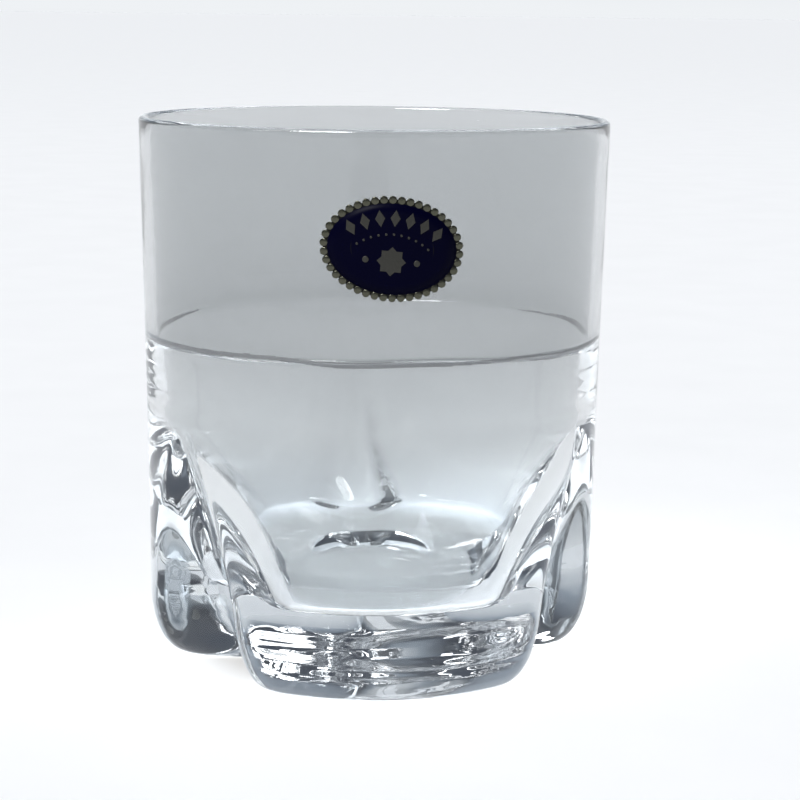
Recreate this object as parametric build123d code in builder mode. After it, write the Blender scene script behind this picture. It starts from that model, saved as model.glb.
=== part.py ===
"""Heavy-based whiskey tumbler on three lobed feet, with an oval foil seal.

One piece of clear glass: a thin round wall above, a rounded inside with three
soft lobes, and a solid base that three arched recesses divide into three broad
feet.  An oval metal-foil seal with a beaded edge is stuck on the wall above
one foot.

Frame: millimetres, +Z up, origin on the table under the middle of the glass.
The foot below the seal faces -Y.
"""

from build123d import *
from math import cos, hypot, pi, radians, sin, sqrt
import os

os.makedirs("parts", exist_ok=True)

# ---------------------------------------------------------------- whole glass
height = 102.0
rim_radius = 44.0
foot_radius = 42.5            # outside radius of the straight part above the feet
flare_start = 20.0            # height where the wall begins to open outwards
flare_power = 1.25            # above 1: the opening grows towards the rim
rim_round = 0.85              # rounding of both edges of the fire-polished rim
rim_start = height - rim_round

# ---------------------------------------------------- base: edge and recesses
edge_height = 13.0            # height of the rounded bottom edge
edge_inset = 6.3              # how far that edge draws in at the table
foot_count = 3
recess_depth = 14.0           # depth of an arched recess at the table
recess_width = 19.3           # half width of a recess at the table
recess_top = 46.0             # height where a recess has faded out
recess_narrowing = 0.88       # share of the half width lost at the top
valley_round = 0.50           # how round the bottom of a recess is
valley_power = 2.6            # how quickly its sides run out into the feet
dome_height = 2.0             # shallow dome in the middle of the underside
dome_radius = 13.0

# --------------------------------------------------------------- inside space
floor_height = 14.8           # thickness of glass under the middle of the inside
floor_radius = 30.2           # towards a foot, before the rounding
floor_round = 1.8             # rounding between the floor and the wall
bowl_height = 50.0            # height where the bowl has become the upright wall
bulge_depth = 8.0             # how far the inside bulges in behind a recess, at the floor
bulge_top = 47.0              # height where a bulge has faded out
bulge_power = 1.4
bulge_half_angle = 30         # degrees to either side of the middle of a recess
wall_at_bowl = 3.2
wall_at_ring = 2.1
wall_at_rim = 1.8
ring_height = 61.9            # the fine ring where the thin upper wall starts
ring_step = 0.30              # the wall is this much thicker below the ring

# ----------------------------------------------------------------------- seal
seal_height = 82.0            # centre of the seal
seal_turn = -2.3              # degrees round from the middle of the front foot
seal_tilt = -5.0              # degrees, the seal sits slightly crooked
seal_width = 23.3             # of the oval through the middles of the edge beads
seal_tall = 16.7
bead_count = 42
bead_radius = 0.68
bead_top_radius = 0.45
adhesive_thickness = 0.05
contact_gap = 0.01            # the film stays this clear of the glass solid
foil_thickness = 0.10
bead_thickness = 0.12         # how far the beads stand above the foil
field_thickness = 0.03
ornament_thickness = 0.04
emblem_drop = 2.1             # the emblem's centre lies below the seal's centre
emblem_radius = 2.5           # of the star
emblem_side_dot = 0.55
emblem_side_gap = 4.4         # from the star's centre to the dot beside it
lozenge_arc = 13.6            # radius of the arch of lozenges
lozenge_long = 1.45           # half length, away from the arch's centre
lozenge_wide = 0.85           # half width
lozenge_count = 7
dot_arc = 9.9
dot_radius = 0.22
dot_count = 11

points_per_lobe = 24          # points on a section curve between two recesses


# ------------------------------------------------------------------- formulas
def quarter_round(share):
    """How far a quarter round has drawn in, 0 at its start and 1 at its end."""
    return 1 - sqrt(1 - share**2)


def rim_rounding(z):
    """How far each side of the rim draws in at height z."""
    return rim_round * quarter_round(max(0.0, z - rim_start) / rim_round)


def outer_radius(z):
    """Radius of the glass where no recess reaches."""
    radius = foot_radius
    if z > flare_start:
        share = (z - flare_start) / (rim_start - flare_start)
        radius += (rim_radius - foot_radius) * min(share, 1) ** flare_power
    if z < edge_height:
        radius -= edge_inset * quarter_round((edge_height - z) / edge_height)
    return radius


def recess(z, offset):
    """Depth of a recess at height z, this far to the side of its middle."""
    if z >= recess_top:
        return 0.0
    rise = z / recess_top
    depth = recess_depth * (1 - rise**1.7) ** 1.2
    width = recess_width * (1 - recess_narrowing * rise**2.2)
    across = abs(offset) / width
    if across >= 1:
        return 0.0
    soft = (hypot(across, valley_round) - valley_round) / (hypot(1, valley_round) - valley_round)
    return depth * (1 - soft) ** valley_power


def outside_points(z):
    """Points of the outside section at height z, counter-clockwise."""
    radius = outer_radius(z) - rim_rounding(z)
    points = []
    for lobe in range(foot_count):
        middle = radians(-30 + 120 * lobe)
        for step in range(points_per_lobe):
            turn = radians(120 * (step / points_per_lobe - 0.5))
            along = radius * cos(turn) - recess(z, radius * sin(turn))
            side = radius * sin(turn)
            points.append(
                (
                    along * cos(middle) - side * sin(middle),
                    along * sin(middle) + side * cos(middle),
                )
            )
    return points


def inner_radius(z):
    """Radius of the inside towards a foot."""
    if z >= ring_height:  # the thin upper wall
        share = (z - ring_height) / (height - ring_height)
        return outer_radius(z) - wall_at_ring - (wall_at_rim - wall_at_ring) * share
    if z >= bowl_height:  # the wall thickens below the ring
        below_ring = wall_at_ring + ring_step
        share = (ring_height - z) / (ring_height - bowl_height)
        return outer_radius(z) - below_ring - (wall_at_bowl - below_ring) * share
    up = (z - floor_height) / (bowl_height - floor_height)
    swell = 1 - (1 - up) ** 2
    rounding = floor_round * quarter_round(max(0.0, 1 - (z - floor_height) / floor_round))
    return floor_radius + (outer_radius(bowl_height) - wall_at_bowl - floor_radius) * swell - rounding


def bulge(z, aside):
    """How far the inside bulges in behind a recess, this angle from its middle."""
    rise = (z - floor_height) / (bulge_top - floor_height)
    if rise >= 1 or abs(aside) >= bulge_half_angle:
        return 0.0
    fade = (1 + cos(pi * aside / bulge_half_angle)) / 2
    return bulge_depth * (1 - rise) ** bulge_power * fade


def inside_points(z):
    """Points of the inside section at height z, counter-clockwise."""
    radius = inner_radius(z) + rim_rounding(z)
    points = []
    for lobe in range(foot_count):
        for step in range(points_per_lobe):
            aside = 120 * (step / points_per_lobe - 0.5)
            turn = radians(-30 + 120 * lobe + aside)
            reach = radius - bulge(z, aside)
            points.append((reach * cos(turn), reach * sin(turn)))
    return points


def section(z, points):
    """One smooth closed section on the plane at height z."""
    with BuildSketch(Plane.XY.offset(z)) as sketch:
        with BuildLine():
            Spline(*points, periodic=True)
        make_face()
    return sketch.sketch


rim_heights = [rim_start + rim_round * share for share in (0, 0.4, 0.7, 0.9, 1)]
outside_heights = [
    [0, 0.5, 1.5, 3, 5, 8, 12, 16, 20, 25, 30, 35, 39, 43, 46, bowl_height],
    [bowl_height, 62, 75, 88, rim_start],
    rim_heights,
]
inside_heights = [
    [floor_height, 14.89, 15.16, 15.58, 16.06, floor_height + floor_round],
    [floor_height + floor_round, 18, 22, 27, 33, 38, 42, 45, 47, bowl_height],
    [bowl_height, 56, ring_height - ring_step],
    [ring_height - ring_step, ring_height],
    [ring_height, 75, 88, rim_start],
    rim_heights,
]


def wall_band(inner_gap, thickness):
    """Half section of a thin layer that lies on the outside of the wall."""
    low = seal_height - seal_tall
    high = seal_height + seal_tall
    inside = [(outer_radius(z) + inner_gap, z) for z in (low, seal_height, high)]
    outside = [(outer_radius(z) + inner_gap + thickness, z) for z in (high, seal_height, low)]
    with BuildSketch(Plane.XZ) as band:
        with BuildLine():
            Spline(*inside)
            Line(inside[-1], outside[0])
            Spline(*outside)
            Line(outside[-1], inside[0])
        make_face()
    return band.sketch


# ----------------------------------------------------------------- glass body
with BuildPart() as glass_body:
    for heights in outside_heights:
        loft(sections=[section(z, outside_points(z)) for z in heights])
    for heights in inside_heights:
        loft(sections=[section(z, inside_points(z)) for z in heights], mode=Mode.SUBTRACT)
    with BuildSketch(Plane.XZ):
        with BuildLine():
            ThreePointArc((0, dome_height), (dome_radius / 2, dome_height * 0.75), (dome_radius, 0))
            Polyline((dome_radius, 0), (dome_radius, -1), (0, -1), (0, dome_height))
        make_face()
    revolve(axis=Axis.Z, mode=Mode.SUBTRACT)
glass_body.part.label = "glass_body"
export_step(glass_body.part, "parts/glass_body.step")

# ----------------------------------------------------------------------- seal
out_x, out_y = sin(radians(seal_turn)), -cos(radians(seal_turn))
right = Vector(-out_y, out_x, 0)
up = Vector(0, 0, 1)
seal_plane = Plane(
    origin=(0, 0, seal_height),
    x_dir=right * cos(radians(seal_tilt)) + up * sin(radians(seal_tilt)),
    z_dir=(out_x, out_y, 0),
)
seal_reach = rim_radius + 5
bead_oval = Edge.make_ellipse(seal_width / 2, seal_tall / 2)
bead_places = [bead_oval @ (bead / bead_count) for bead in range(bead_count)]

# clear film that holds the foil to the glass
with BuildPart() as seal_adhesive:
    revolve(wall_band(contact_gap, adhesive_thickness - contact_gap), axis=Axis.Z)
    with BuildSketch(seal_plane):
        Ellipse(seal_width / 2, seal_tall / 2)
    extrude(amount=seal_reach, mode=Mode.INTERSECT)
seal_adhesive.part.label = "seal_adhesive"
export_step(seal_adhesive.part, "parts/seal_adhesive.step")

# embossed metal foil with a scalloped edge of beads
with BuildPart() as foil_sheet:
    revolve(wall_band(adhesive_thickness, foil_thickness), axis=Axis.Z)
    with BuildSketch(seal_plane):
        Ellipse(seal_width / 2, seal_tall / 2)
        with Locations(*bead_places):
            Circle(bead_radius)
    extrude(amount=seal_reach, mode=Mode.INTERSECT)
with BuildPart() as foil_beads:
    revolve(wall_band(adhesive_thickness, foil_thickness + bead_thickness), axis=Axis.Z)
    with BuildSketch(seal_plane):
        with Locations(*bead_places):
            Circle(bead_top_radius)
    extrude(amount=seal_reach, mode=Mode.INTERSECT)
with BuildPart() as seal_foil:
    add(foil_sheet.part)
    add(foil_beads.part)
seal_foil.part.label = "seal_foil"
export_step(seal_foil.part, "parts/seal_foil.step")

# dark blue lacquer inside the beads
foil_top = adhesive_thickness + foil_thickness
with BuildPart() as seal_navy_field:
    revolve(wall_band(foil_top, field_thickness), axis=Axis.Z)
    with BuildSketch(seal_plane):
        Ellipse(seal_width / 2 - bead_radius, seal_tall / 2 - bead_radius)
    extrude(amount=seal_reach, mode=Mode.INTERSECT)
seal_navy_field.part.label = "seal_navy_field"
export_step(seal_navy_field.part, "parts/seal_navy_field.step")

# plain foil ornament: an arch of lozenges, an arch of dots and a star between two dots
with BuildPart() as seal_ornament:
    revolve(wall_band(foil_top + field_thickness, ornament_thickness), axis=Axis.Z)
    with BuildSketch(seal_plane):
        with Locations((0, seal_tall / 2 - 3.1 - lozenge_arc)):
            with PolarLocations(lozenge_arc, lozenge_count, 90 - 33, 66, endpoint=True):
                Polygon((lozenge_long, 0), (0, lozenge_wide), (-lozenge_long, 0), (0, -lozenge_wide))
        with Locations((0, seal_tall / 2 - 5.85 - dot_arc)):
            with PolarLocations(dot_arc, dot_count, 90 - 38, 76, endpoint=True):
                Circle(dot_radius)
        with Locations((0, -emblem_drop)):
            Rectangle(emblem_radius * sqrt(2), emblem_radius * sqrt(2))
            Rectangle(emblem_radius * sqrt(2), emblem_radius * sqrt(2), rotation=45)
            with Locations((-emblem_side_gap, 0), (emblem_side_gap, 0)):
                Circle(emblem_side_dot)
    extrude(amount=seal_reach, mode=Mode.INTERSECT)
seal_ornament.part.label = "seal_ornament"
export_step(seal_ornament.part, "parts/seal_ornament.step")
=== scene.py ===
import math

import bpy
from mathutils import Matrix, Vector


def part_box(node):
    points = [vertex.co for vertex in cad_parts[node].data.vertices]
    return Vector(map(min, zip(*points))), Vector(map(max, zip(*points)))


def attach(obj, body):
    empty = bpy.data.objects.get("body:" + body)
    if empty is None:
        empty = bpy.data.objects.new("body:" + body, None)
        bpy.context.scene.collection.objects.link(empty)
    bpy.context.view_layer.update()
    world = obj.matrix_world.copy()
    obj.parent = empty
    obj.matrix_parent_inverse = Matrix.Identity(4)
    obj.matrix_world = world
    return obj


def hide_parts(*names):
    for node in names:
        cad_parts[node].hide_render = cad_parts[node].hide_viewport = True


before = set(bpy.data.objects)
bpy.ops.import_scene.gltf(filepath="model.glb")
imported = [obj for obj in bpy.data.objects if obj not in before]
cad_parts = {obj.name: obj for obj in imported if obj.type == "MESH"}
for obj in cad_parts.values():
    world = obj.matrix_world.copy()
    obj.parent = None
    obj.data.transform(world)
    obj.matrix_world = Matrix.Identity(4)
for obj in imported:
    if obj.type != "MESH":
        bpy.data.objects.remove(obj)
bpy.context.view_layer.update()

MM = 0.001

# ------------------------------------------------------------ glass, in millimetres
GLASS_LOW, GLASS_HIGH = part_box("glass_body")
HEIGHT = (GLASS_HIGH.z - GLASS_LOW.z) / MM
RIM_RADIUS = (GLASS_HIGH.x - GLASS_LOW.x) / 2 / MM
RIM_ROUND = 0.85              # rounding of both edges of the rim
RIM_START = HEIGHT - RIM_ROUND
FOOT_RADIUS = RIM_RADIUS - 1.5
FLARE_START = 20.0            # height where the wall begins to open outwards
FLARE_POWER = 1.25
EDGE_HEIGHT = 13.0            # height of the rounded bottom edge
EDGE_INSET = 6.3              # how far that edge draws in at the table
LOBES = 3
LOBE_DEGREES = 360 / LOBES
FIRST_RECESS_DEGREES = -30.0  # azimuth of the middle of the first recess
RECESS_DEPTH = 14.0           # at the table
RECESS_DEPTH_POWERS = (1.7, 1.2)
RECESS_WIDTH = 19.3           # half width of a recess at the table
RECESS_WIDTH_POWER = 2.2
RECESS_TOP = 46.0             # height where a recess has faded out
RECESS_NARROWING = 0.88       # share of the half width lost at the top
VALLEY_ROUND = 0.50           # how round the bottom of a recess is
VALLEY_POWER = 2.6            # how quickly its sides run out into the feet
DOME_HEIGHT = 2.0             # shallow dome in the middle of the underside
DOME_RADIUS = 13.0
FLOOR_HEIGHT = 14.8           # thickness of glass under the inside floor
FLOOR_RADIUS = 30.2           # towards a foot, before the rounding
FLOOR_ROUND = 1.8
BOWL_HEIGHT = 50.0            # height where the bowl has become the upright wall
WALL_AT_BOWL = 3.2
BULGE_DEPTH = 8.0             # how far the inside bulges in behind a recess, at the floor
BULGE_TOP = 47.0              # height where a bulge has faded out
BULGE_POWER = 1.4
BULGE_HALF_ANGLE = math.radians(30)
WALL_AT_RING = 2.1
WALL_AT_RIM = 1.8
RING_HEIGHT = 61.9            # the fine ring where the thin upper wall starts
RING_STEP = 0.30              # the wall is this much thicker below the ring
RING_GROOVE = 0.20            # depth of the fine groove that draws the ring
RING_GROOVE_WIDTH = 0.45
RING_REACH = 3.0              # rows this far above and below the ring follow its wave
RING_WAVE = 0.45              # how far the ring rises and falls on its way round
RING_FADE = (44.0, 60.0)      # y where the ring has faded out, and the length it fades over
BAND_BELOW = 0.55             # how far the ring's dark band of painted shade reaches below the ring
BAND_WOBBLE = 0.25            # how much that reach varies on the way round
BAND_ABOVE = 0.38
BAND_END = 24.0               # y where the dark band of painted shade stops
INSIDE_MARGIN = 0.5           # faces this much nearer the middle are on the inside

# rows and columns of the glass mesh
AROUND = 360                  # columns, a multiple of the number of lobes
DOME_ROWS = 20
PAD_ROWS = 8
EDGE_ROWS = 24
FOOT_ROWS = 44
OUTER_WALL_START = 48.0       # height where the rows become coarser
OUTER_WALL_ROWS = 20
RIM_ROWS = 8
UPPER_INSIDE_ROWS = 14
RING_ROWS = 40
LOWER_INSIDE_ROWS = 12
BOWL_ROWS = 60
FLOOR_ROUND_ROWS = 12
FLOOR_ROWS = 6


def quarter_round(share):
    """How far a quarter round has drawn in, 0 at its start and 1 at its end."""
    return 1 - math.sqrt(max(0.0, 1 - share**2))


def smooth(share):
    """Smooth step from 0 to 1."""
    share = min(max(share, 0.0), 1.0)
    return share * share * (3 - 2 * share)


def outer_radius(z):
    """Radius of the outside at height z, without the recesses."""
    radius = FOOT_RADIUS
    if z > FLARE_START:
        share = (z - FLARE_START) / (RIM_START - FLARE_START)
        radius += (RIM_RADIUS - FOOT_RADIUS) * min(share, 1) ** FLARE_POWER
    if z < EDGE_HEIGHT:
        radius -= EDGE_INSET * quarter_round((EDGE_HEIGHT - z) / EDGE_HEIGHT)
    return radius


def recess(z, offset):
    """Depth of a recess at height z, this far to the side of its middle."""
    if z >= RECESS_TOP:
        return 0.0
    rise = z / RECESS_TOP
    depth = RECESS_DEPTH * (1 - rise ** RECESS_DEPTH_POWERS[0]) ** RECESS_DEPTH_POWERS[1]
    width = RECESS_WIDTH * (1 - RECESS_NARROWING * rise**RECESS_WIDTH_POWER)
    across = abs(offset) / width
    if across >= 1:
        return 0.0
    bottom = math.hypot(across, VALLEY_ROUND) - VALLEY_ROUND
    soft = bottom / (math.hypot(1, VALLEY_ROUND) - VALLEY_ROUND)
    return depth * (1 - soft) ** VALLEY_POWER


def place_in_lobe(column):
    """Azimuth of the middle of this column's recess, and the column's angle from it."""
    lobe, step = divmod(column, AROUND // LOBES)
    middle = math.radians(FIRST_RECESS_DEGREES + LOBE_DEGREES * lobe)
    aside = math.radians(LOBE_DEGREES * (step / (AROUND / LOBES) - 0.5))
    return middle, aside


def outside_point(z, column):
    """Point of the outside at height z and this column."""
    middle, aside = place_in_lobe(column)
    radius = outer_radius(z)
    side = radius * math.sin(aside)
    along = radius * math.cos(aside) - recess(z, side)
    return (
        along * math.cos(middle) - side * math.sin(middle),
        along * math.sin(middle) + side * math.cos(middle),
    )


def inner_radius(z):
    """Radius of the inside at height z, without the bulges."""
    if z >= RING_HEIGHT:
        share = (z - RING_HEIGHT) / (HEIGHT - RING_HEIGHT)
        return outer_radius(z) - WALL_AT_RING - (WALL_AT_RIM - WALL_AT_RING) * share
    if z >= BOWL_HEIGHT:
        share = (RING_HEIGHT - z) / (RING_HEIGHT - BOWL_HEIGHT)
        wall_below_ring = WALL_AT_RING + RING_STEP
        return outer_radius(z) - wall_below_ring - (WALL_AT_BOWL - wall_below_ring) * share
    full = outer_radius(BOWL_HEIGHT) - WALL_AT_BOWL
    up = max(0.0, (z - FLOOR_HEIGHT) / (BOWL_HEIGHT - FLOOR_HEIGHT))
    rounding = FLOOR_ROUND * quarter_round(max(0.0, 1 - (z - FLOOR_HEIGHT) / FLOOR_ROUND))
    return FLOOR_RADIUS + (full - FLOOR_RADIUS) * (1 - (1 - up) ** 2) - rounding


def inside_point(z, column):
    """Point of the inside at height z and this column."""
    middle, aside = place_in_lobe(column)
    turn = middle + aside
    rise = min(1.0, (z - FLOOR_HEIGHT) / (BULGE_TOP - FLOOR_HEIGHT))
    share = min(1.0, abs(aside) / BULGE_HALF_ANGLE)
    bulge = BULGE_DEPTH * (1 - rise) ** BULGE_POWER * (1 + math.cos(math.pi * share)) / 2
    reach = inner_radius(z) - bulge
    return reach * math.cos(turn), reach * math.sin(turn)


def ring_wave(turn):
    """How far the ring lies above its usual height, this far round the glass."""
    return RING_WAVE * (0.6 * math.cos(3 * turn) + 0.3 * math.sin(5 * turn + 1) + 0.2 * math.sin(11 * turn))


def ring_facing(y):
    """How strongly the ring shows, in its groove and its painted shade: full on the seal's side, fading
    towards the back.
    """
    fade_end, fade_length = RING_FADE
    return smooth((fade_end - y) / fade_length)


def lift(radius):
    """Height of the underside above the table: a shallow dome in its middle."""
    return DOME_HEIGHT * max(0.0, 1 - (radius / DOME_RADIUS) ** 2)


def heights(*stretches):
    """Heights from stretches of (from, to, count), without repeats."""
    found = []
    for low, high, count in stretches:
        for step in range(count):
            found.append(low + (high - low) * step / count)
    found.append(stretches[-1][1])
    return found


def ring_at(point_at, z):
    """One row of points at height z, where point_at gives the point of a column."""
    return [(*point_at(z, column), z) for column in range(AROUND)]


def underside_rows():
    """From the middle of the dome out to the edge of the feet."""
    rows = []
    foot_line = [outside_point(0, column) for column in range(AROUND)]
    for step in range(1, DOME_ROWS):
        radius = DOME_RADIUS * step / DOME_ROWS
        row = []
        for x, y in foot_line:
            share = radius / math.hypot(x, y)
            row.append((x * share, y * share, lift(radius)))
        rows.append(row)
    for step in range(PAD_ROWS):
        row = []
        for x, y in foot_line:
            near = DOME_RADIUS / math.hypot(x, y)
            share = near + (1 - near) * step / PAD_ROWS
            row.append((x * share, y * share, 0))
        rows.append(row)
    return rows


def outside_rows():
    """Up the outside, from the rounded bottom edge to the rim."""
    rows = []
    for step in range(EDGE_ROWS, 0, -1):
        z = EDGE_HEIGHT * (1 - math.sin(math.pi / 2 * step / EDGE_ROWS))
        rows.append(ring_at(outside_point, z))
    foot = (EDGE_HEIGHT, OUTER_WALL_START, FOOT_ROWS)
    wall = (OUTER_WALL_START, RIM_START, OUTER_WALL_ROWS)
    for z in heights(foot, wall):
        rows.append(ring_at(outside_point, z))
    return rows


def rim_rows(point_at, side, steps):
    """One rounded edge of the rim, drawn in (side -1) from the outside or out (1) from the inside."""
    rows = []
    for step in steps:
        angle = math.pi / 2 * step / RIM_ROWS
        inset = RIM_ROUND * (1 - math.cos(angle))
        z = RIM_START + RIM_ROUND * math.sin(angle)
        row = []
        for column in range(AROUND):
            x, y = point_at(z, column)
            share = 1 + side * inset / math.hypot(x, y)
            row.append((x * share, y * share, z))
        rows.append(row)
    return rows


def wall_inside_rows():
    """Down the inside of the wall to the bowl, with the fine groove of the ring."""
    above = (RIM_START, RING_HEIGHT + RING_REACH, UPPER_INSIDE_ROWS)
    around_ring = (RING_HEIGHT + RING_REACH, RING_HEIGHT - RING_REACH, RING_ROWS)
    below = (RING_HEIGHT - RING_REACH, BOWL_HEIGHT, LOWER_INSIDE_ROWS)
    rows = []
    for z in heights(above, around_ring, below)[1:]:
        near = math.exp(-(((z - RING_HEIGHT) / RING_GROOVE_WIDTH) ** 2))
        follow = smooth(1 - abs(z - RING_HEIGHT) / RING_REACH)
        row = []
        for column in range(AROUND):
            x, y = inside_point(z, column)
            deeper = 1 + RING_GROOVE * near * ring_facing(y) / math.hypot(x, y)
            wave = ring_wave(2 * math.pi * column / AROUND)
            row.append((x * deeper, y * deeper, z + follow * wave))
        rows.append(row)
    return rows


def bowl_rows():
    """Down the bowl, round the floor's edge and in to the middle of the floor."""
    rows = []
    round_top = FLOOR_HEIGHT + FLOOR_ROUND
    for step in range(1, BOWL_ROWS):
        rows.append(ring_at(inside_point, BOWL_HEIGHT - (BOWL_HEIGHT - round_top) * step / BOWL_ROWS))
    for step in range(FLOOR_ROUND_ROWS):
        z = round_top - FLOOR_ROUND * math.sin(math.pi / 2 * step / FLOOR_ROUND_ROWS)
        rows.append(ring_at(inside_point, z))
    floor_line = [inside_point(FLOOR_HEIGHT, column) for column in range(AROUND)]
    for step in range(FLOOR_ROWS):
        share = 1 - step / FLOOR_ROWS
        rows.append([(x * share, y * share, FLOOR_HEIGHT) for x, y in floor_line])
    return rows


def glass_rows():
    """All rows of the glass, from the middle of the underside to the middle of the floor."""
    return (
        underside_rows()
        + outside_rows()
        + rim_rows(outside_point, -1, range(1, RIM_ROWS + 1))
        + rim_rows(inside_point, 1, range(RIM_ROWS, -1, -1))
        + wall_inside_rows()
        + bowl_rows()
    )


def make_mesh(name, rows, cap_start=None, cap_end=None):
    """Object from rings of points in millimetres, closed at either end by a point."""
    points = [point for row in rows for point in row]
    around = len(rows[0])
    faces = []
    for row in range(len(rows) - 1):
        lower, upper = row * around, (row + 1) * around
        for column in range(around):
            after = (column + 1) % around
            faces.append((lower + column, lower + after, upper + after, upper + column))
    for cap, row in ((cap_start, 0), (cap_end, len(rows) - 1)):
        if cap is not None:
            points.append(cap)
            tip = len(points) - 1
            for column in range(around):
                first = row * around + column
                second = row * around + (column + 1) % around
                faces.append((tip, second, first) if row == 0 else (tip, first, second))
    mesh = bpy.data.meshes.new(name)
    mesh.from_pydata([(x * MM, y * MM, z * MM) for x, y, z in points], [], faces)
    mesh.validate()
    mesh.shade_smooth()
    piece = bpy.data.objects.new(name, mesh)
    bpy.context.collection.objects.link(piece)
    return piece


# ------------------------------------------------------------ materials
def new_material(name):
    """New material, with its nodes, links and shader."""
    material = bpy.data.materials.new(name)
    material.use_nodes = True
    tree = material.node_tree
    return material, tree.nodes, tree.links, tree.nodes["Principled BSDF"]


def color_ramp(nodes, stops):
    """Colour ramp through stops of (position, colour)."""
    ramp = nodes.new("ShaderNodeValToRGB")
    elements = ramp.color_ramp.elements
    for element, (position, color) in zip(elements, (stops[0], stops[-1])):
        element.position = position
        element.color = (*color, 1)
    for position, color in stops[1:-1]:
        elements.new(position).color = (*color, 1)
    return ramp


def map_range(nodes, source, target):
    """Node that maps the numbers between the source pair to those between the target pair."""
    spread = nodes.new("ShaderNodeMapRange")
    spread.inputs["From Min"].default_value = source[0]
    spread.inputs["From Max"].default_value = source[1]
    spread.inputs["To Min"].default_value = target[0]
    spread.inputs["To Max"].default_value = target[1]
    return spread


def noise_bump(nodes, links, shader, scale, strength, distance, detail=2.0):
    """Fine unevenness of a surface, from noise in the object's own space."""
    place = nodes.new("ShaderNodeTexCoord")
    noise = nodes.new("ShaderNodeTexNoise")
    noise.inputs["Scale"].default_value = scale
    noise.inputs["Detail"].default_value = detail
    bump = nodes.new("ShaderNodeBump")
    bump.inputs["Strength"].default_value = strength
    bump.inputs["Distance"].default_value = distance
    links.new(place.outputs["Object"], noise.inputs["Vector"])
    links.new(noise.outputs["Fac"], bump.inputs["Height"])
    links.new(bump.outputs["Normal"], shader.inputs["Normal"])
    return noise


def mottle_roughness(nodes, links, shader, noise, least, most):
    """Let the noise vary the shader's roughness between two values."""
    spread = map_range(nodes, (0.0, 1.0), (least, most))
    links.new(noise.outputs["Fac"], spread.inputs["Value"])
    links.new(spread.outputs["Result"], shader.inputs["Roughness"])


GLASS_IOR = 1.52
# cool grey tint of the glass, with painted shade by share of its height: darkest just above the ring,
# darker in the base and upper wall than in the middle
GLASS_TINTS_AND_SHADE = (
    (0.0, (0.64, 0.685, 0.725)),
    (0.13, (0.66, 0.70, 0.73)),
    (0.30, (0.73, 0.755, 0.765)),
    (0.50, (0.75, 0.765, 0.77)),
    (0.595, (0.67, 0.685, 0.69)),
    (0.615, (0.575, 0.59, 0.595)),
    (0.66, (0.625, 0.64, 0.645)),
    (0.75, (0.66, 0.675, 0.68)),
    (1.0, (0.685, 0.70, 0.705)),
)
STREAK_SCALES = (13, 13, 230)      # per metre: long around the glass, fine in height
STREAK_FADE = (0.010, 0.015)       # metres above the table where the streaks fade out


def flow_lines(nodes, links, shader, place, parts):
    """Level streaks that the flow of the pressed glass left in the feet."""
    stretch = nodes.new("ShaderNodeVectorMath")
    stretch.operation = "MULTIPLY"
    stretch.inputs[1].default_value = STREAK_SCALES
    streaks = nodes.new("ShaderNodeTexNoise")
    streaks.inputs["Scale"].default_value = 1.0
    streaks.inputs["Detail"].default_value = 1.5
    low = map_range(nodes, STREAK_FADE, (1.0, 0.0))
    height = nodes.new("ShaderNodeMath")
    height.operation = "MULTIPLY"
    bump = nodes.new("ShaderNodeBump")
    bump.inputs["Strength"].default_value = 0.55
    bump.inputs["Distance"].default_value = 0.0004
    fine_bump = shader.inputs["Normal"].links[0].from_node
    links.new(place.outputs["Object"], stretch.inputs[0])
    links.new(stretch.outputs["Vector"], streaks.inputs["Vector"])
    links.new(parts.outputs["Z"], low.inputs["Value"])
    links.new(streaks.outputs["Fac"], height.inputs[0])
    links.new(low.outputs["Result"], height.inputs[1])
    links.new(height.outputs[0], bump.inputs["Height"])
    links.new(bump.outputs["Normal"], fine_bump.inputs["Normal"])


def glass_material():
    """Clear glass with a cool grey tint and painted shade by height, a faint unevenness and streaks in the
    feet.
    """
    material, nodes, links, shader = new_material("clear_glass")
    place = nodes.new("ShaderNodeTexCoord")
    parts = nodes.new("ShaderNodeSeparateXYZ")
    share = nodes.new("ShaderNodeMath")
    share.operation = "DIVIDE"
    share.inputs[1].default_value = HEIGHT * MM
    # the ramp paints shade into the glass's tint by height, darkest just above the ring
    tint_and_shade = color_ramp(nodes, GLASS_TINTS_AND_SHADE)
    links.new(place.outputs["Object"], parts.inputs[0])
    links.new(parts.outputs["Z"], share.inputs[0])
    links.new(share.outputs[0], tint_and_shade.inputs["Fac"])
    links.new(tint_and_shade.outputs["Color"], shader.inputs["Base Color"])
    shader.inputs["Roughness"].default_value = 0.0
    shader.inputs["IOR"].default_value = GLASS_IOR
    shader.inputs["Transmission Weight"].default_value = 1.0
    noise_bump(nodes, links, shader, scale=70, strength=0.25, distance=0.0002)
    flow_lines(nodes, links, shader, place, parts)
    return material


def ring_shade_material():
    """Dark, half clear painted shade that stands in for the dark line the ring shows in real glass."""
    material, nodes, links, shader = new_material("clear_glass_ring_shade")
    shader.inputs["Base Color"].default_value = (0.20, 0.205, 0.215, 1)
    shader.inputs["IOR"].default_value = GLASS_IOR
    shader.inputs["Specular IOR Level"].default_value = 0.1
    shader.inputs["Transmission Weight"].default_value = 0.5
    noise = noise_bump(nodes, links, shader, scale=400, strength=0.3, distance=0.0001)
    mottle_roughness(nodes, links, shader, noise, least=0.1, most=0.3)
    return material


def foil_material(name, color, roughness):
    """Embossed metal foil, satin to dull."""
    material, nodes, links, shader = new_material(name)
    shader.inputs["Base Color"].default_value = (*color, 1)
    shader.inputs["Metallic"].default_value = 0.85
    noise = noise_bump(nodes, links, shader, scale=2600, strength=0.35, distance=0.00008, detail=4.0)
    mottle_roughness(nodes, links, shader, noise, least=roughness - 0.1, most=roughness + 0.12)
    return material


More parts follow.
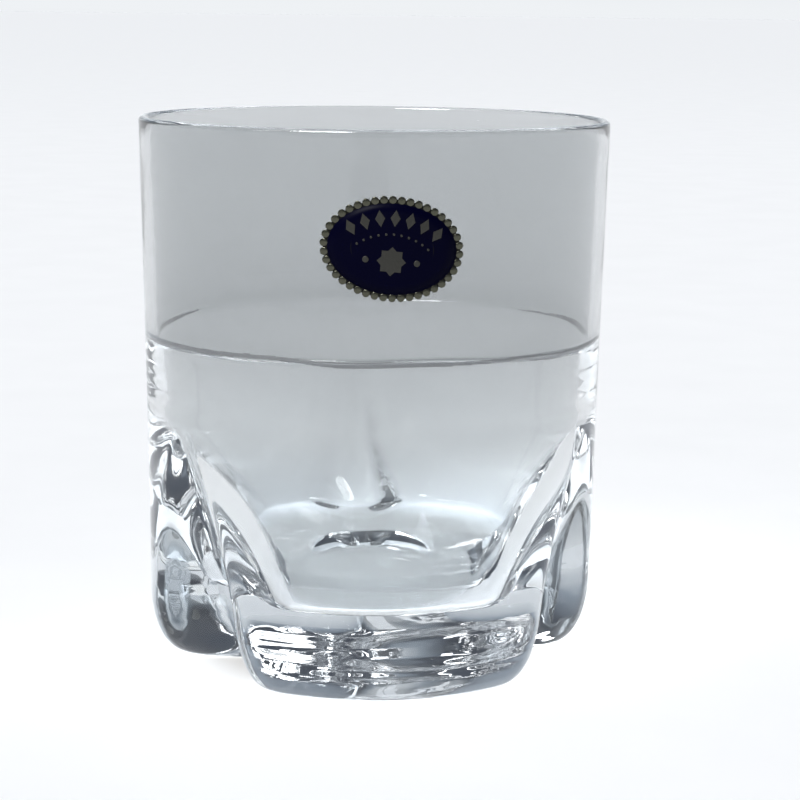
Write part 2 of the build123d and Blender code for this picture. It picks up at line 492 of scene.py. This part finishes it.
def lacquer_material():
    """Very dark blue print."""
    material, nodes, links, shader = new_material("navy_lacquer")
    shader.inputs["Base Color"].default_value = (0.0006, 0.0006, 0.009, 1)
    shader.inputs["Specular IOR Level"].default_value = 0.03
    noise = noise_bump(nodes, links, shader, scale=900, strength=0.12, distance=0.00005)
    mottle_roughness(nodes, links, shader, noise, least=0.3, most=0.42)
    return material


def film_material():
    """Adhesive film under the seal, grey where it shows through the glass."""
    material, nodes, links, shader = new_material("adhesive_film")
    shader.inputs["Base Color"].default_value = (0.45, 0.46, 0.44, 1)
    noise = noise_bump(nodes, links, shader, scale=500, strength=0.1, distance=0.00005)
    mottle_roughness(nodes, links, shader, noise, least=0.35, most=0.5)
    return material


# ------------------------------------------------------------ the glass
def mark_ring_shade(piece):
    """Give the faces in the groove the ring's painted shade material, ever fewer towards the back.

    The turn is the azimuth from +X, while the groove's wave starts at -Y, so the
    dark band and the groove wander a little apart.
    """
    for polygon in piece.data.polygons:
        place = polygon.center / MM
        reach = math.hypot(place.x, place.y)
        turn = math.atan2(place.y, place.x)
        above = place.z - RING_HEIGHT - ring_wave(turn)
        facing = ring_facing(place.y)
        low = -BAND_BELOW - BAND_WOBBLE * math.sin(7 * turn + 1)
        inside = reach < outer_radius(RING_HEIGHT) - INSIDE_MARGIN and place.y < BAND_END
        if inside and low * facing < above < BAND_ABOVE * facing:
            # these inside faces at the ring are painted dark as shade
            polygon.material_index = 1


glass = make_mesh("clear_glass_body", glass_rows(), (0, 0, DOME_HEIGHT), (0, 0, FLOOR_HEIGHT))
glass.data.materials.append(glass_material())
glass.data.materials.append(ring_shade_material())
mark_ring_shade(glass)
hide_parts("glass_body")
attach(glass, "root")
glass.visible_shadow = False  # its soft shade is in the floor's own colour

# ------------------------------------------------------------ seal, in millimetres
SEAL_HEIGHT = 82.0
SEAL_TURN = math.radians(-2.3)
SEAL_TILT = math.radians(-5)
SEAL_A = 23.3 / 2             # half width of the oval through the middles of the beads
SEAL_B = 16.7 / 2             # half of its height
OVAL_STEPS = 7200             # fine steps that the beads' places are measured off on
FOIL_MARGIN = 0.1             # how far the flat foil reaches past that oval
BEAD_COUNT = 42
BEAD_RADIUS = 0.68
BEAD_SIDES = 28
BEAD_DOME_DEGREES = (0, 12, 25, 40, 55, 70, 82)
FIELD_GAP = 0.08              # how far the blue reaches under the beads
LOZENGE_COUNT = 7
LOZENGE_LONG = 1.45           # half lengths of a lozenge
LOZENGE_WIDE = 0.85
LOZENGE_ARCH = (13.6, 3.1)    # radius of the arch, and its top below the seal's top
LOZENGE_DEGREES = (57, 11)    # first angle on the arch, and the step
DOT_COUNT = 11
DOT_RADIUS = 0.22
DOT_ARCH = (9.9, 5.85)
DOT_DEGREES = (52, 7.6)
EMBLEM_DROP = 2.1             # the star's middle lies below the seal's middle
STAR_POINTS = 8
STAR_RADIUS = 2.5
STAR_INNER_SHARE = 0.765
SIDE_DOT_REACH = 4.4
SIDE_DOT_RADIUS = 0.55

# heights of the seal's layers above the glass
FOIL_BACK = 0.05
FOIL_SHOULDER = 0.12
FOIL_TOP = 0.15
BEAD_TOP = 0.28
FIELD_TOP = 0.18
ORNAMENT_SHOULDER = 0.23
ORNAMENT_TOP = 0.27
LAYER_OVERLAP = 0.02          # how far a layer starts inside the one under it

SEAL_OUT = Vector((math.sin(SEAL_TURN), -math.cos(SEAL_TURN), 0))
SEAL_RIGHT = Vector((-SEAL_OUT.y, SEAL_OUT.x, 0))
SEAL_X = SEAL_RIGHT * math.cos(SEAL_TILT) + Vector((0, 0, 1)) * math.sin(SEAL_TILT)
SEAL_Y = SEAL_OUT.cross(SEAL_X)


def on_wall(x, y, above):
    """Point of the seal at x to the right and y up, this far above the glass."""
    flat = SEAL_X * x + SEAL_Y * y
    z = SEAL_HEIGHT + flat.z
    aside = flat.dot(SEAL_RIGHT)
    along = math.sqrt((outer_radius(z) + above) ** 2 - aside**2)
    point = SEAL_OUT * along + SEAL_RIGHT * aside
    return point.x, point.y, z


def raised(name, outline, center, levels, sharp=False):
    """Thin raised shape on the wall, from levels of (scale, height above the glass)."""
    rows = []
    for scale, above in levels:
        row = []
        for x, y in outline:
            across = center[0] + (x - center[0]) * scale
            up = center[1] + (y - center[1]) * scale
            row.append(on_wall(across, up, above))
        rows.append(row)
    piece = make_mesh(name, rows, cap_end=on_wall(*center, levels[-1][1]))
    if sharp:
        piece.data.shade_flat()
    return piece


def oval(a, b, count, center=(0, 0)):
    """Points of an oval with half lengths a and b."""
    points = []
    for step in range(count):
        angle = 2 * math.pi * step / count
        points.append((center[0] + a * math.cos(angle), center[1] + b * math.sin(angle)))
    return points


def even_places(a, b, count):
    """Places spaced evenly along an oval."""
    fine = oval(a, b, OVAL_STEPS)
    run = [0.0]
    for first, last in zip(fine, fine[1:] + fine[:1]):
        run.append(run[-1] + math.hypot(last[0] - first[0], last[1] - first[1]))
    places = []
    step = 0
    for bead in range(count):
        while run[step + 1] < run[-1] * bead / count:
            step += 1
        places.append(fine[step])
    return places


def join(name, pieces):
    """One object from several, which keeps their shading and material numbers."""
    points, faces, shading, slots = [], [], [], []
    for piece in pieces:
        start = len(points)
        points.extend(vertex.co.copy() for vertex in piece.data.vertices)
        for polygon in piece.data.polygons:
            faces.append([start + corner for corner in polygon.vertices])
            shading.append(polygon.use_smooth)
            slots.append(polygon.material_index)
        bpy.data.objects.remove(piece)
    mesh = bpy.data.meshes.new(name)
    mesh.from_pydata(points, [], faces)
    mesh.polygons.foreach_set("use_smooth", shading)
    mesh.polygons.foreach_set("material_index", slots)
    mesh.validate()
    whole = bpy.data.objects.new(name, mesh)
    bpy.context.collection.objects.link(whole)
    return whole


def finish_piece(piece, materials, node):
    """Dress a piece of the seal, hide the CAD node that it stands for, and hang the piece on the root body.
    """
    for material in materials:
        piece.data.materials.append(material)
    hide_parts(node)
    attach(piece, "root")


def paint_foil_shade(polygons):
    """Give these faces the dark foil of painted shade, between the beads and round their rims."""
    for polygon in polygons:
        polygon.material_index = 1


def make_foil():
    """The foil sheet and the ring of beads embossed along its edge."""
    levels = [(1.0, FOIL_BACK), (1.0, FOIL_SHOULDER)]
    levels += [(scale, FOIL_TOP) for scale in (0.99, 0.9, 0.6, 0.3)]
    sheet = raised("sheet", oval(SEAL_A + FOIL_MARGIN, SEAL_B + FOIL_MARGIN, 180), (0, 0), levels)
    # the flat foil between the beads is all painted dark as shade
    paint_foil_shade(sheet.data.polygons)
    pieces = [sheet]
    dome_start = FOIL_TOP * 0.6
    dome = [(1.0, FOIL_BACK)]
    for degrees in BEAD_DOME_DEGREES:
        angle = math.radians(degrees)
        dome.append((math.cos(angle), dome_start + (BEAD_TOP - dome_start) * math.sin(angle) ** 0.8))
    for center in even_places(SEAL_A, SEAL_B, BEAD_COUNT):
        bead = raised("bead", oval(BEAD_RADIUS, BEAD_RADIUS, BEAD_SIDES, center), center, dome)
        # each bead's lowest rings of faces are painted dark as shade, as an outline
        paint_foil_shade(bead.data.polygons[: 2 * BEAD_SIDES])
        pieces.append(bead)
    return join("beaded_foil", pieces)


def make_field():
    """The dark blue print inside the beads."""
    levels = [(1.0, FOIL_TOP - LAYER_OVERLAP)]
    levels += [(scale, FIELD_TOP) for scale in (1.0, 0.8, 0.5, 0.2)]
    outline = oval(SEAL_A - BEAD_RADIUS + FIELD_GAP, SEAL_B - BEAD_RADIUS + FIELD_GAP, 160)
    return raised("navy_field", outline, (0, 0), levels)


def on_arch(arch, angle):
    """Point at this angle on an arch of (radius, top below the seal's top)."""
    radius, drop = arch
    return Vector((radius * math.cos(angle), radius * math.sin(angle) + SEAL_B - drop - radius))


def make_ornament():
    """Plain ornament: an arch of lozenges, an arch of dots, and a star between two dots."""
    edge = [(1.0, FIELD_TOP - LAYER_OVERLAP), (1.0, ORNAMENT_SHOULDER), (0.78, ORNAMENT_TOP)]
    star_edge = edge[:2] + [(0.35, ORNAMENT_TOP)]
    pieces = []
    for lozenge in range(LOZENGE_COUNT):
        angle = math.radians(LOZENGE_DEGREES[0] + LOZENGE_DEGREES[1] * lozenge)
        along = Vector((math.cos(angle), math.sin(angle)))
        across = Vector((-along.y, along.x))
        center = on_arch(LOZENGE_ARCH, angle)
        corners = [center + along * LOZENGE_LONG, center + across * LOZENGE_WIDE]
        corners += [center - along * LOZENGE_LONG, center - across * LOZENGE_WIDE]
        outline = [tuple(corner) for corner in corners]
        pieces.append(raised("lozenge", outline, tuple(center), edge, sharp=True))
    for dot in range(DOT_COUNT):
        center = tuple(on_arch(DOT_ARCH, math.radians(DOT_DEGREES[0] + DOT_DEGREES[1] * dot)))
        pieces.append(raised("dot", oval(DOT_RADIUS, DOT_RADIUS, 16, center), center, edge))
    star = []
    for corner in range(2 * STAR_POINTS):
        angle = math.pi * corner / STAR_POINTS
        reach = STAR_RADIUS if corner % 2 == 0 else STAR_RADIUS * STAR_INNER_SHARE
        star.append((reach * math.cos(angle), reach * math.sin(angle) - EMBLEM_DROP))
    pieces.append(raised("star", star, (0, -EMBLEM_DROP), star_edge, sharp=True))
    for side in (-SIDE_DOT_REACH, SIDE_DOT_REACH):
        center = (side, -EMBLEM_DROP)
        pieces.append(raised("side_dot", oval(SIDE_DOT_RADIUS, SIDE_DOT_RADIUS, 24, center), center, edge))
    return join("seal_ornament_relief", pieces)


bead_foil = foil_material("champagne_foil", (0.085, 0.085, 0.062), roughness=0.22)
# dark copy of the foil: painted shade between the beads and round their rims
shade_foil = foil_material("champagne_foil_shade", (0.008, 0.008, 0.007), roughness=0.45)
print_foil = foil_material("champagne_foil_print", (0.055, 0.054, 0.048), roughness=0.5)
finish_piece(make_foil(), [bead_foil, shade_foil], "seal_foil")
finish_piece(make_field(), [lacquer_material()], "seal_navy_field")
finish_piece(make_ornament(), [print_foil], "seal_ornament")
bpy.data.objects["seal_adhesive"].data.materials[0] = film_material()

# ------------------------------------------------------------ camera, floor and light, in metres
CAMERA_AZIMUTH = math.radians(-6.5)
CAMERA_PITCH = math.radians(10.488)
CAMERA_YAW = math.radians(0.76)
CAMERA_ROLL = math.radians(0.67)
CAMERA_REACH = 0.4026         # from the middle of the glass, measured level
CAMERA_HEIGHT = 0.1226
CAMERA_LENS = 96.0            # in millimetres, for a sensor 36 mm wide
FLOOR_SIDE = 15.0
FLOOR_BACK = 25.0
FLOOR_DROP = 0.0002           # the floor lies this far under the glass
FLOOR_TONES = ((0.0, (0.84, 0.845, 0.85)), (1.0, (0.88, 0.885, 0.89)))
SHADE_COLOR = (0.47, 0.46, 0.445)
SHADE_FADE = (0.025, 0.039)   # from the middle: full shade, and none
LIGHT_TARGET = Vector((0, 0, 0.05))
SUN_ANGLE = math.radians(24)
SKY_COLORS = ((0.0, (0.86, 0.885, 0.91)), (0.25, (0.33, 0.38, 0.44)), (0.6, (0.045, 0.06, 0.09)))
LIGHT_BOUNCES = 40            # light crosses the thick base many times

# sockets of a Mix node that mixes colours
MIX_FACTOR, MIX_FIRST, MIX_SECOND, MIX_RESULT = 0, 6, 7, 2


def make_camera():
    """Camera in front of the seal's side, a little above the rim."""
    data = bpy.data.cameras.new("camera")
    data.lens = CAMERA_LENS
    data.sensor_width = 36
    camera = bpy.data.objects.new("camera", data)
    bpy.context.collection.objects.link(camera)
    away = Vector((-math.sin(CAMERA_AZIMUTH), math.cos(CAMERA_AZIMUTH), 0))
    right = Vector((math.cos(CAMERA_AZIMUTH), math.sin(CAMERA_AZIMUTH), 0))
    ahead = away * math.cos(CAMERA_YAW) + right * math.sin(CAMERA_YAW)
    side = right * math.cos(CAMERA_YAW) - away * math.sin(CAMERA_YAW)
    forward = ahead * math.cos(CAMERA_PITCH) - Vector((0, 0, 1)) * math.sin(CAMERA_PITCH)
    top = side.cross(forward)
    turned = side * math.cos(CAMERA_ROLL) + top * math.sin(CAMERA_ROLL)
    top = turned.cross(forward)
    place = Matrix.Translation(-away * CAMERA_REACH + Vector((0, 0, CAMERA_HEIGHT)))
    camera.matrix_world = place @ Matrix((turned, top, -forward)).transposed().to_4x4()
    bpy.context.scene.camera = camera


def floor_material():
    """Pale floor, with a soft painted shade right under the glass."""
    material, nodes, links, shader = new_material("floor")
    noise = noise_bump(nodes, links, shader, scale=30, strength=0.05, distance=0.0005)
    tone = color_ramp(nodes, FLOOR_TONES)
    place = nodes.new("ShaderNodeTexCoord")
    reach = nodes.new("ShaderNodeVectorMath")
    reach.operation = "LENGTH"
    under = map_range(nodes, SHADE_FADE, (0.0, 1.0))
    under.interpolation_type = "SMOOTHSTEP"
    shaded = nodes.new("ShaderNodeMix")
    shaded.data_type = "RGBA"
    shaded.inputs[MIX_FIRST].default_value = (*SHADE_COLOR, 1)
    links.new(noise.outputs["Fac"], tone.inputs["Fac"])
    links.new(place.outputs["Object"], reach.inputs[0])
    links.new(reach.outputs["Value"], under.inputs["Value"])
    links.new(under.outputs["Result"], shaded.inputs[MIX_FACTOR])
    links.new(tone.outputs["Color"], shaded.inputs[MIX_SECOND])
    links.new(shaded.outputs[MIX_RESULT], shader.inputs["Base Color"])
    shader.inputs["Roughness"].default_value = 0.9
    shader.inputs["Specular IOR Level"].default_value = 0.1
    return material


def make_floor():
    """Wide level floor just under the glass."""
    mesh = bpy.data.meshes.new("floor")
    front = [(-FLOOR_SIDE, -FLOOR_SIDE), (FLOOR_SIDE, -FLOOR_SIDE)]
    back = [(FLOOR_SIDE, FLOOR_BACK), (-FLOOR_SIDE, FLOOR_BACK)]
    mesh.from_pydata([(x, y, -FLOOR_DROP) for x, y in front + back], [], [(0, 1, 2, 3)])
    mesh.materials.append(floor_material())
    floor = bpy.data.objects.new("floor", mesh)
    bpy.context.collection.objects.link(floor)


def make_light(name, place, size, power):
    """Rectangular light that faces the middle of the glass."""
    data = bpy.data.lights.new(name, "AREA")
    data.shape = "RECTANGLE"
    data.size, data.size_y = size
    data.energy = power
    light = bpy.data.objects.new(name, data)
    bpy.context.collection.objects.link(light)
    light.location = place
    light.rotation_euler = (LIGHT_TARGET - Vector(place)).to_track_quat("-Z", "Y").to_euler()


def make_sun(toward, strength):
    """Wide even light from this direction."""
    data = bpy.data.lights.new("wide_light", "SUN")
    data.energy = strength
    data.angle = SUN_ANGLE
    light = bpy.data.objects.new("wide_light", data)
    bpy.context.collection.objects.link(light)
    light.rotation_euler = Vector(toward).to_track_quat("Z", "Y").to_euler()


def make_world():
    """Pale at the horizon, dark overhead, and dimmer on the camera's side."""
    world = bpy.data.worlds.new("studio")
    bpy.context.scene.world = world
    world.use_nodes = True
    nodes, links = world.node_tree.nodes, world.node_tree.links
    background = nodes["Background"]
    place = nodes.new("ShaderNodeTexCoord")
    parts = nodes.new("ShaderNodeSeparateXYZ")
    rise = color_ramp(nodes, SKY_COLORS)
    strength = map_range(nodes, (-1.0, 0.4), (0.5, 1.0))
    links.new(place.outputs["Generated"], parts.inputs[0])
    links.new(parts.outputs["Z"], rise.inputs["Fac"])
    links.new(parts.outputs["Y"], strength.inputs["Value"])
    links.new(rise.outputs["Color"], background.inputs["Color"])
    links.new(strength.outputs["Result"], background.inputs["Strength"])


make_camera()
make_floor()
make_light("key", place=(-2.0, -0.7, 2.4), size=(0.25, 1.6), power=5)
make_light("fill", place=(2.0, 0.4, 2.2), size=(0.2, 1.6), power=4)
make_sun(toward=(-0.45, -0.5, 1.0), strength=3.5)
make_world()
bpy.context.scene.view_settings.view_transform = "Standard"
cycles = bpy.context.scene.cycles
cycles.max_bounces = LIGHT_BOUNCES
cycles.transmission_bounces = LIGHT_BOUNCES
cycles.glossy_bounces = LIGHT_BOUNCES
